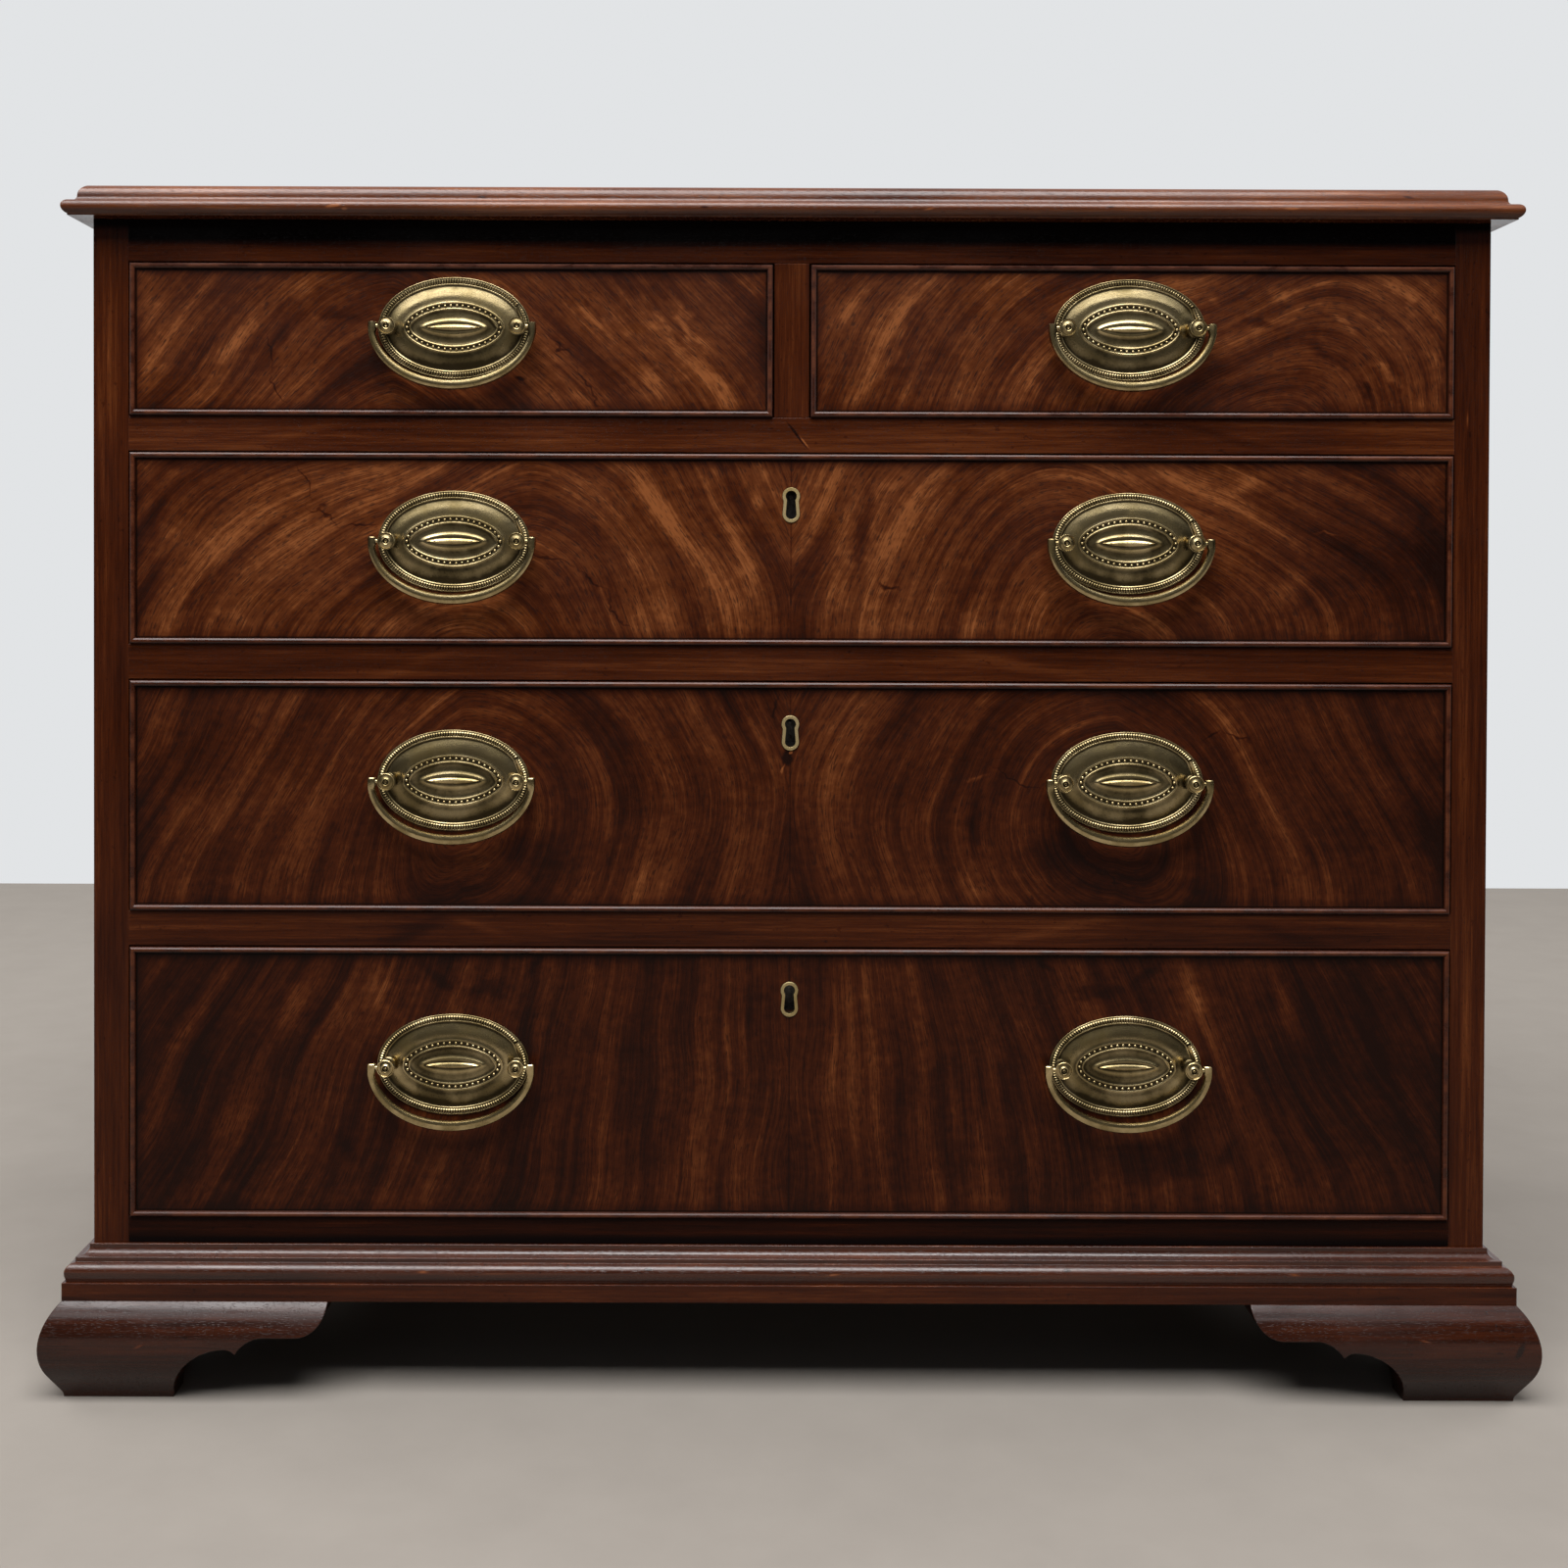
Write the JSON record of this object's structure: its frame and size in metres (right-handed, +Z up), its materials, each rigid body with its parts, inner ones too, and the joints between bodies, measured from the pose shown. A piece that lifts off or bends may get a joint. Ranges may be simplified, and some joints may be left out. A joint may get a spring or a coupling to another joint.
{
  "type": "bachelors chest",
  "caption": "Small Georgian mahogany chest with short drawers over long graduated ones, oval brass bail handles, moulded top and ogee bracket feet.",
  "frame": {"origin": "on the floor, under the middle of the whole chest", "axes": "+Z up, the drawers open towards -Y, +X to the right as seen from the front"},
  "size_m": [1.017, 0.5084, 0.828],
  "materials": {
    "mahogany": "old french polish, satin",
    "mahogany_veneer": "figured veneer, polished",
    "oak": "unfinished, aged",
    "brass": "aged, lightly polished",
    "lock_iron": "dull"
  },
  "bodies": {
    "carcase": {"top_board": "mahogany", "side_left": "mahogany", "side_right": "mahogany", "front_stiles": "mahogany", "top_rail": "mahogany", "rail_upper": "mahogany", "rail_middle": "mahogany", "rail_lower": "mahogany", "bottom_rail": "mahogany", "centre_divider": "mahogany", "dustboards": "oak", "bottom_board": "oak", "backboards": "oak", "drawer_runners": "oak", "drawer_stops": "oak", "base_moulding": "mahogany", "plinth_strip": "mahogany", "foot_front_left": "mahogany", "foot_front_right": "mahogany", "foot_rear_left": "mahogany", "foot_rear_right": "mahogany"},
    "short_left_drawer": {"drawer_short_left_front": "mahogany_veneer", "drawer_short_left_cockbead": "mahogany", "drawer_short_left_box": "oak", "drawer_short_left_bottom": "oak", "drawer_short_left_brasses": "brass"},
    "short_left_bail": {"bail_short_left": "brass"},
    "short_right_drawer": {"drawer_short_right_front": "mahogany_veneer", "drawer_short_right_cockbead": "mahogany", "drawer_short_right_box": "oak", "drawer_short_right_bottom": "oak", "drawer_short_right_brasses": "brass"},
    "short_right_bail": {"bail_short_right": "brass"},
    "upper_drawer": {"drawer_upper_front": "mahogany_veneer", "drawer_upper_cockbead": "mahogany", "drawer_upper_box": "oak", "drawer_upper_bottom": "oak", "drawer_upper_brasses": "brass", "drawer_upper_lock": "lock_iron"},
    "upper_left_bail": {"bail_upper_left": "brass"},
    "upper_right_bail": {"bail_upper_right": "brass"},
    "upper_bolt": {"bolt_upper": "lock_iron"},
    "middle_drawer": {"drawer_middle_front": "mahogany_veneer", "drawer_middle_cockbead": "mahogany", "drawer_middle_box": "oak", "drawer_middle_bottom": "oak", "drawer_middle_brasses": "brass", "drawer_middle_lock": "lock_iron"},
    "middle_left_bail": {"bail_middle_left": "brass"},
    "middle_right_bail": {"bail_middle_right": "brass"},
    "middle_bolt": {"bolt_middle": "lock_iron"},
    "lower_drawer": {"drawer_lower_front": "mahogany_veneer", "drawer_lower_cockbead": "mahogany", "drawer_lower_box": "oak", "drawer_lower_bottom": "oak", "drawer_lower_brasses": "brass", "drawer_lower_lock": "lock_iron"},
    "lower_left_bail": {"bail_lower_left": "brass"},
    "lower_right_bail": {"bail_lower_right": "brass"},
    "lower_bolt": {"bolt_lower": "lock_iron"}
  },
  "joints": [
    {"name": "short_left_drawer_slide", "type": "slide", "parent": "carcase", "child": "short_left_drawer", "axis": [0, -1, 0], "range_m": [0, 0.38]},
    {"name": "short_left_bail_hinge", "type": "hinge", "parent": "short_left_drawer", "child": "short_left_bail", "pos_m": [-0.232, -0.23575, 0.7318], "axis": [-1, 0, 0], "range_deg": [-5, 165]},
    {"name": "short_right_drawer_slide", "type": "slide", "parent": "carcase", "child": "short_right_drawer", "axis": [0, -1, 0], "range_m": [0, 0.38]},
    {"name": "short_right_bail_hinge", "type": "hinge", "parent": "short_right_drawer", "child": "short_right_bail", "pos_m": [0.232, -0.23575, 0.7318], "axis": [-1, 0, 0], "range_deg": [-5, 165]},
    {"name": "upper_drawer_slide", "type": "slide", "parent": "carcase", "child": "upper_drawer", "axis": [0, -1, 0], "range_m": [0, 0.38]},
    {"name": "upper_left_bail_hinge", "type": "hinge", "parent": "upper_drawer", "child": "upper_left_bail", "pos_m": [-0.232, -0.23575, 0.5852], "axis": [-1, 0, 0], "range_deg": [-5, 165]},
    {"name": "upper_right_bail_hinge", "type": "hinge", "parent": "upper_drawer", "child": "upper_right_bail", "pos_m": [0.232, -0.23575, 0.5852], "axis": [-1, 0, 0], "range_deg": [-5, 165]},
    {"name": "upper_bolt_slide", "type": "slide", "parent": "upper_drawer", "child": "upper_bolt", "axis": [0, 0, 1], "range_m": [0, 0.007]},
    {"name": "middle_drawer_slide", "type": "slide", "parent": "carcase", "child": "middle_drawer", "axis": [0, -1, 0], "range_m": [0, 0.38]},
    {"name": "middle_left_bail_hinge", "type": "hinge", "parent": "middle_drawer", "child": "middle_left_bail", "pos_m": [-0.232, -0.23575, 0.4207], "axis": [-1, 0, 0], "range_deg": [-5, 165]},
    {"name": "middle_right_bail_hinge", "type": "hinge", "parent": "middle_drawer", "child": "middle_right_bail", "pos_m": [0.232, -0.23575, 0.4207], "axis": [-1, 0, 0], "range_deg": [-5, 165]},
    {"name": "middle_bolt_slide", "type": "slide", "parent": "middle_drawer", "child": "middle_bolt", "axis": [0, 0, 1], "range_m": [0, 0.007]},
    {"name": "lower_drawer_slide", "type": "slide", "parent": "carcase", "child": "lower_drawer", "axis": [0, -1, 0], "range_m": [0, 0.38]},
    {"name": "lower_left_bail_hinge", "type": "hinge", "parent": "lower_drawer", "child": "lower_left_bail", "pos_m": [-0.232, -0.23575, 0.2245], "axis": [-1, 0, 0], "range_deg": [-5, 165]},
    {"name": "lower_right_bail_hinge", "type": "hinge", "parent": "lower_drawer", "child": "lower_right_bail", "pos_m": [0.232, -0.23575, 0.2245], "axis": [-1, 0, 0], "range_deg": [-5, 165]},
    {"name": "lower_bolt_slide", "type": "slide", "parent": "lower_drawer", "child": "lower_bolt", "axis": [0, 0, 1], "range_m": [0, 0.007]}
  ]
}
